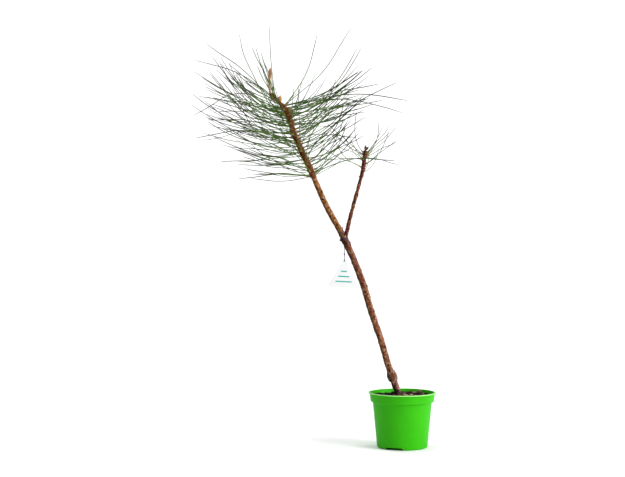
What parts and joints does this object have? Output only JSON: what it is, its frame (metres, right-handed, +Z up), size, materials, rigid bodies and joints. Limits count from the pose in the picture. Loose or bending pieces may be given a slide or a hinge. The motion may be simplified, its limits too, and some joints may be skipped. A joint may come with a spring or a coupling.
{
  "type": "potted black pine sapling",
  "caption": "Leaning young black pine with a bare trunk, a tuft of long needles at its top, a side branch and a plain hanging tag, in a round green nursery pot.",
  "frame": {"origin": "on the pot's axis, on its flat underside at ground level", "axes": "+Z up, +X to the side away from the lean, -Y towards the viewer"},
  "size_m": [0.4327, 0.2496, 0.7467],
  "materials": {
    "pot": "bright green moulded plastic, satin",
    "soil": "moist dark potting soil with bark chips",
    "bark": "red brown scaly young bark",
    "needles": "dark green, slightly waxy",
    "dry_bud": "pale dry papery scales",
    "brown_bud": "orange brown scales",
    "dark_bud": "dark resinous scales",
    "card": "smooth white card",
    "thread": "dark grey thread"
  },
  "bodies": {
    "root": {"branch_bud": "dark_bud", "branch_left": "needles", "branch_right": "needles", "crest": "needles", "leader_low_back": "needles", "leader_low_front": "needles", "leader_low_left": "needles", "leader_low_right": "needles", "leader_middle_back": "needles", "leader_middle_front": "needles", "leader_middle_left": "needles", "leader_middle_right": "needles", "leader_upper_back": "needles", "leader_upper_front": "needles", "leader_upper_left": "needles", "leader_upper_right": "needles", "pot": "pot", "second_bud": "brown_bud", "side_branch": "bark", "soil": "soil", "tag": "card", "tag_thread": "thread", "terminal_bud": "dry_bud", "trunk": "bark"}
  },
  "joints": []
}
